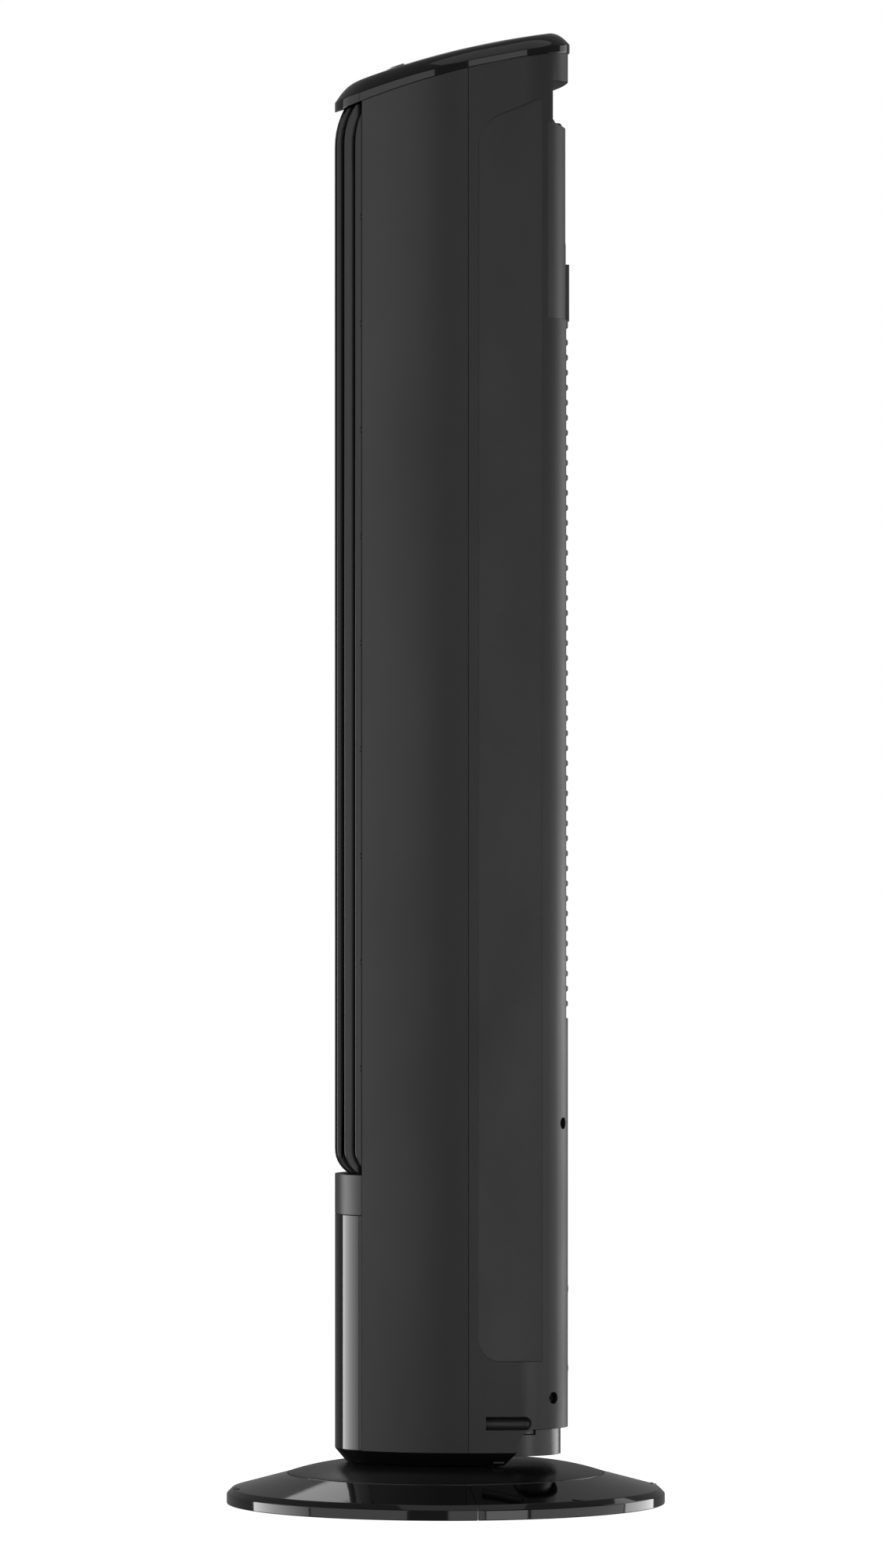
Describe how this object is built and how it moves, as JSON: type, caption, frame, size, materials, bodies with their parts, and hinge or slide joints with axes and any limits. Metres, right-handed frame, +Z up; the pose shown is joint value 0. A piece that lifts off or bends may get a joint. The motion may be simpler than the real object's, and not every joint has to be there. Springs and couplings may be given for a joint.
{
  "type": "tower fan",
  "caption": "Slim swinging tower fan on a round base, with an upright finned outlet, a slotted rear intake, a domed sloping top and a carrying recess.",
  "frame": {"origin": "centre of the round base's underside, on the axis that the tower swings about", "axes": "+Z up, the outlet faces -Y, the intake and the carrying recess face +Y"},
  "size_m": [0.3224, 0.3224, 1.0807],
  "materials": {
    "gloss_black": "high gloss black moulded plastic",
    "satin_black": "fine satin black moulded plastic",
    "matte_black": "matte black moulded plastic",
    "badge_grey": "satin graphite plastic",
    "natural_plastic": "natural acetal and nylon",
    "steel": "zinc plated steel",
    "black_steel": "black oxide screws",
    "core_steel": "stacked motor laminations",
    "winding": "enamelled copper windings",
    "bronze": "sintered bronze",
    "rubber_black": "black rubber",
    "board_green": "green circuit board",
    "component_blue": "blue capacitor case",
    "key_grey": "light grey keys",
    "smoked_lens": "smoked display window"
  },
  "bodies": {
    "base": {"base_front_half": "gloss_black", "base_rear_half": "gloss_black", "base_top_disc": "matte_black", "swivel_post": "matte_black", "thrust_washer": "natural_plastic", "fixed_gear": "natural_plastic", "retaining_washer": "steel", "post_screws": "steel", "gear_screws": "steel", "rubber_feet": "rubber_black"},
    "tower": {"bottom_pan": "matte_black", "cord_inlet_bush": "rubber_black", "front_housing": "satin_black", "rear_housing": "satin_black", "rear_intake_grille": "satin_black", "front_grille": "satin_black", "lower_front_panel": "gloss_black", "badge_band": "badge_grey", "top_cap": "gloss_black", "handle_pocket": "matte_black", "top_deck": "matte_black", "motor_deck": "matte_black", "air_scroll": "matte_black", "cutoff_wall": "matte_black", "swing_motor": "steel", "swing_motor_bracket": "matte_black", "bracket_screws": "steel", "power_board": "board_green", "run_capacitor": "component_blue", "motor_stator_core": "core_steel", "motor_windings": "winding", "motor_lower_bell": "steel", "motor_upper_bell": "steel", "motor_bearings": "bronze", "top_bearing_bush": "bronze", "top_bearing_holder": "rubber_black", "control_board": "board_green", "tact_switches": "matte_black", "display_lens": "smoked_lens", "rear_screws": "black_steel", "remote_holder": "matte_black"},
    "blower": {"blower_wheel": "matte_black", "motor_shaft": "steel", "motor_rotor": "core_steel", "top_journal": "steel"},
    "pinion": {"swing_pinion": "natural_plastic", "swing_motor_shaft": "steel"},
    "remote": {"remote_face_shell": "satin_black", "remote_back_shell": "satin_black", "remote_cell": "steel"},
    "power_button": {"power_button": "key_grey"},
    "speed_button": {"speed_button": "key_grey"},
    "timer_button": {"timer_button": "key_grey"},
    "swing_button": {"swing_button": "key_grey"},
    "remote_power_key": {"remote_power_key": "key_grey"},
    "remote_speed_key": {"remote_speed_key": "key_grey"},
    "remote_timer_key": {"remote_timer_key": "key_grey"},
    "remote_swing_key": {"remote_swing_key": "key_grey"},
    "battery_door": {"remote_battery_door": "satin_black"}
  },
  "joints": [
    {"name": "tower_swing", "type": "hinge", "parent": "base", "child": "tower", "pos_m": [0, 0, 0.045], "axis": [0, 0, 1], "range_deg": [-45, 45]},
    {"name": "pinion_spin", "type": "hinge", "parent": "tower", "child": "pinion", "pos_m": [0, 0.04, 0.055], "axis": [0, 0, 1], "range_deg": [-135, 135]},
    {"name": "blower_spin", "type": "hinge", "parent": "tower", "child": "blower", "pos_m": [0, 0.006, 0.6], "axis": [0, 0, 1], "continuous": true},
    {"name": "power_button_press", "type": "slide", "parent": "tower", "child": "power_button", "axis": [0, 0.3137, -0.9495], "range_m": [0, 0.0005], "stiffness_N_per_m": 600, "springref_m": -0.0004},
    {"name": "speed_button_press", "type": "slide", "parent": "tower", "child": "speed_button", "axis": [0, 0.3137, -0.9495], "range_m": [0, 0.0005], "stiffness_N_per_m": 600, "springref_m": -0.0004},
    {"name": "timer_button_press", "type": "slide", "parent": "tower", "child": "timer_button", "axis": [0, 0.3137, -0.9495], "range_m": [0, 0.0005], "stiffness_N_per_m": 600, "springref_m": -0.0004},
    {"name": "swing_button_press", "type": "slide", "parent": "tower", "child": "swing_button", "axis": [0, 0.3137, -0.9495], "range_m": [0, 0.0005], "stiffness_N_per_m": 600, "springref_m": -0.0004},
    {"name": "remote_lift", "type": "slide", "parent": "tower", "child": "remote", "axis": [0, 0, 1], "range_m": [0, 0.04]},
    {"name": "remote_power_key_press", "type": "slide", "parent": "remote", "child": "remote_power_key", "axis": [0, -1, 0], "range_m": [0, 0.0004], "stiffness_N_per_m": 500, "springref_m": -0.0004},
    {"name": "remote_speed_key_press", "type": "slide", "parent": "remote", "child": "remote_speed_key", "axis": [0, -1, 0], "range_m": [0, 0.0004], "stiffness_N_per_m": 500, "springref_m": -0.0004},
    {"name": "remote_timer_key_press", "type": "slide", "parent": "remote", "child": "remote_timer_key", "axis": [0, -1, 0], "range_m": [0, 0.0004], "stiffness_N_per_m": 500, "springref_m": -0.0004},
    {"name": "remote_swing_key_press", "type": "slide", "parent": "remote", "child": "remote_swing_key", "axis": [0, -1, 0], "range_m": [0, 0.0004], "stiffness_N_per_m": 500, "springref_m": -0.0004},
    {"name": "battery_door_twist", "type": "hinge", "parent": "remote", "child": "battery_door", "pos_m": [0, 0.0766, 0.9002], "axis": [0, 1, 0], "range_deg": [0, 35]}
  ],
  "couplings": [
    {"joint": "pinion_spin", "follows": "tower_swing", "ratio": 3}
  ]
}
